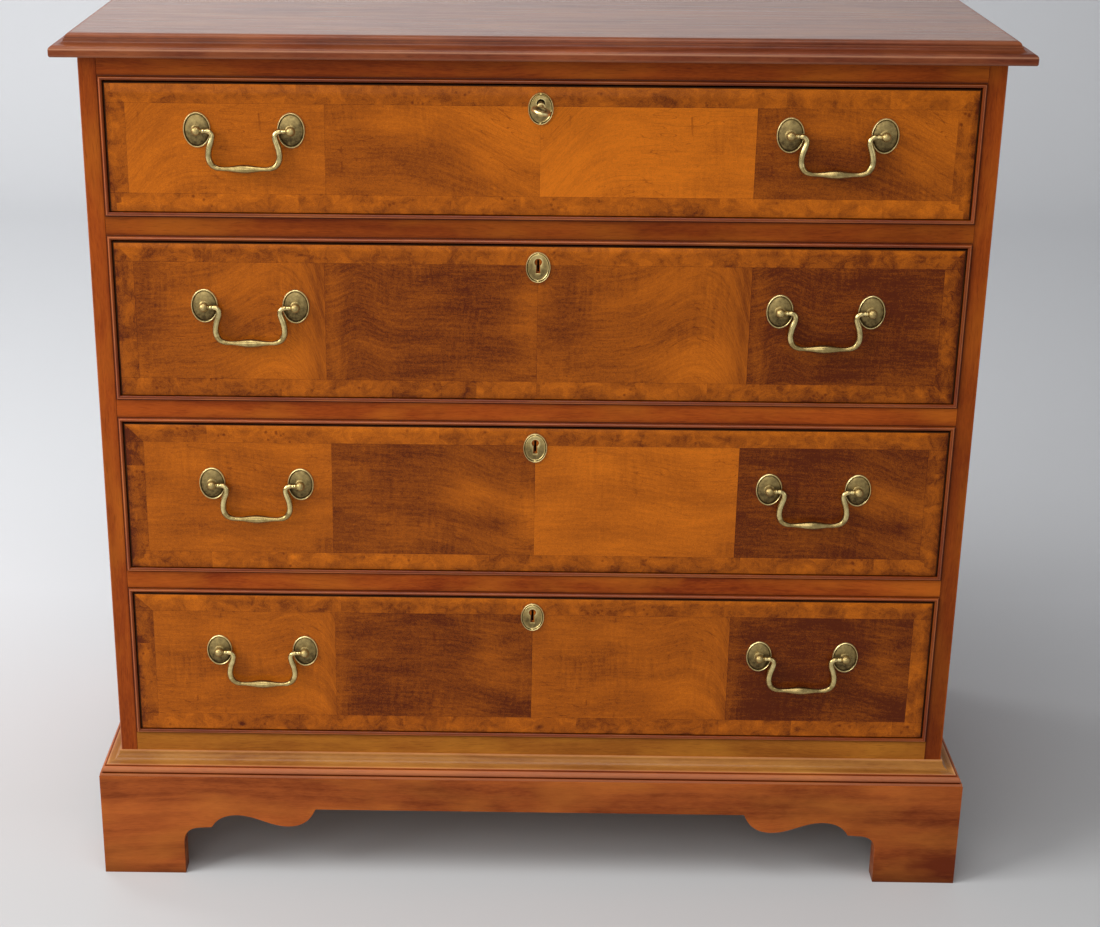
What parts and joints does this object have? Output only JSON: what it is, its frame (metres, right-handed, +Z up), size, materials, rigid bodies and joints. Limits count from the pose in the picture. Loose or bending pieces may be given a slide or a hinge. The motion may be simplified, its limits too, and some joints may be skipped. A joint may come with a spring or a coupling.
{
  "type": "chest of drawers",
  "caption": "Low mahogany chest with long graduated drawers, cock-beaded openings, swan-neck brass pulls, a moulded top and shaped bracket feet.",
  "frame": {"origin": "on the floor, under the middle of the chest's bounding box, key bow included", "axes": "+X to the viewer's right along the front, +Y from the drawer fronts to the back, +Z up"},
  "size_m": [0.91, 0.511, 0.89],
  "materials": {
    "mahogany": "french-polished solid mahogany, reddish brown",
    "top_mahogany": "polished mahogany, slightly bleached by light",
    "figured_veneer": "book-matched figured mahogany veneer with burr crossbanding, polished",
    "oak": "unpolished oak drawer linings",
    "pine": "rough unpolished pine",
    "brass": "aged polished brass, olive tone",
    "lock_metal": "dull old brass"
  },
  "bodies": {
    "carcass": {"top_board": "top_mahogany", "sub_top": "mahogany", "divider_1": "mahogany", "divider_2": "mahogany", "divider_3": "mahogany", "bottom_frame": "mahogany", "side_left": "mahogany", "side_right": "mahogany", "back_boards": "pine", "base_front": "mahogany", "base_left": "mahogany", "base_right": "mahogany", "base_moulding": "mahogany"},
    "drawer_1_left_bail": {"drawer_1_left_bail": "brass"},
    "drawer_1_right_bail": {"drawer_1_right_bail": "brass"},
    "drawer_1": {"drawer_1_front": "figured_veneer", "drawer_1_box": "oak", "drawer_1_bottom": "oak", "drawer_1_lock": "lock_metal", "drawer_1_escutcheon": "brass", "drawer_1_left_post_outer": "brass", "drawer_1_left_post_inner": "brass", "drawer_1_right_post_outer": "brass", "drawer_1_right_post_inner": "brass"},
    "drawer_2_left_bail": {"drawer_2_left_bail": "brass"},
    "drawer_2_right_bail": {"drawer_2_right_bail": "brass"},
    "drawer_2": {"drawer_2_front": "figured_veneer", "drawer_2_box": "oak", "drawer_2_bottom": "oak", "drawer_2_lock": "lock_metal", "drawer_2_escutcheon": "brass", "drawer_2_left_post_outer": "brass", "drawer_2_left_post_inner": "brass", "drawer_2_right_post_outer": "brass", "drawer_2_right_post_inner": "brass"},
    "drawer_3_left_bail": {"drawer_3_left_bail": "brass"},
    "drawer_3_right_bail": {"drawer_3_right_bail": "brass"},
    "drawer_3": {"drawer_3_front": "figured_veneer", "drawer_3_box": "oak", "drawer_3_bottom": "oak", "drawer_3_lock": "lock_metal", "drawer_3_escutcheon": "brass", "drawer_3_left_post_outer": "brass", "drawer_3_left_post_inner": "brass", "drawer_3_right_post_outer": "brass", "drawer_3_right_post_inner": "brass"},
    "drawer_4_left_bail": {"drawer_4_left_bail": "brass"},
    "drawer_4_right_bail": {"drawer_4_right_bail": "brass"},
    "drawer_4": {"drawer_4_front": "figured_veneer", "drawer_4_box": "oak", "drawer_4_bottom": "oak", "drawer_4_lock": "lock_metal", "drawer_4_escutcheon": "brass", "drawer_4_left_post_outer": "brass", "drawer_4_left_post_inner": "brass", "drawer_4_right_post_outer": "brass", "drawer_4_right_post_inner": "brass"},
    "drawer_1_lock_bolt": {"drawer_1_lock_bolt": "lock_metal"},
    "drawer_1_key": {"drawer_1_key": "brass"}
  },
  "joints": [
    {"name": "drawer_1_slide", "type": "slide", "parent": "carcass", "child": "drawer_1", "axis": [0, -1, 0], "range_m": [0, 0.33]},
    {"name": "drawer_1_left_bail_hinge", "type": "hinge", "parent": "drawer_1", "child": "drawer_1_left_bail", "pos_m": [-0.2794, -0.2195, 0.7996], "axis": [-1, 0, 0], "range_deg": [0, 175]},
    {"name": "drawer_1_right_bail_hinge", "type": "hinge", "parent": "drawer_1", "child": "drawer_1_right_bail", "pos_m": [0.2794, -0.2195, 0.7996], "axis": [-1, 0, 0], "range_deg": [0, 175]},
    {"name": "drawer_2_slide", "type": "slide", "parent": "carcass", "child": "drawer_2", "axis": [0, -1, 0], "range_m": [0, 0.33]},
    {"name": "drawer_2_left_bail_hinge", "type": "hinge", "parent": "drawer_2", "child": "drawer_2_left_bail", "pos_m": [-0.2794, -0.2195, 0.6273], "axis": [-1, 0, 0], "range_deg": [0, 175]},
    {"name": "drawer_2_right_bail_hinge", "type": "hinge", "parent": "drawer_2", "child": "drawer_2_right_bail", "pos_m": [0.2794, -0.2195, 0.6273], "axis": [-1, 0, 0], "range_deg": [0, 175]},
    {"name": "drawer_3_slide", "type": "slide", "parent": "carcass", "child": "drawer_3", "axis": [0, -1, 0], "range_m": [0, 0.33]},
    {"name": "drawer_3_left_bail_hinge", "type": "hinge", "parent": "drawer_3", "child": "drawer_3_left_bail", "pos_m": [-0.2794, -0.2195, 0.4418], "axis": [-1, 0, 0], "range_deg": [0, 175]},
    {"name": "drawer_3_right_bail_hinge", "type": "hinge", "parent": "drawer_3", "child": "drawer_3_right_bail", "pos_m": [0.2794, -0.2195, 0.4418], "axis": [-1, 0, 0], "range_deg": [0, 175]},
    {"name": "drawer_4_slide", "type": "slide", "parent": "carcass", "child": "drawer_4", "axis": [0, -1, 0], "range_m": [0, 0.33]},
    {"name": "drawer_4_left_bail_hinge", "type": "hinge", "parent": "drawer_4", "child": "drawer_4_left_bail", "pos_m": [-0.2794, -0.2195, 0.2563], "axis": [-1, 0, 0], "range_deg": [0, 175]},
    {"name": "drawer_4_right_bail_hinge", "type": "hinge", "parent": "drawer_4", "child": "drawer_4_right_bail", "pos_m": [0.2794, -0.2195, 0.2563], "axis": [-1, 0, 0], "range_deg": [0, 175]},
    {"name": "drawer_1_key_turn", "type": "hinge", "parent": "drawer_1", "child": "drawer_1_key", "pos_m": [0, -0.2125, 0.8277], "axis": [0, -1, 0], "range_deg": [0, 90]},
    {"name": "drawer_1_bolt_throw", "type": "slide", "parent": "drawer_1", "child": "drawer_1_lock_bolt", "axis": [0, 0, 1], "range_m": [0, 0.009]}
  ],
  "couplings": [
    {"joint": "drawer_1_bolt_throw", "follows": "drawer_1_key_turn", "m_per_rad": 0.005729}
  ]
}
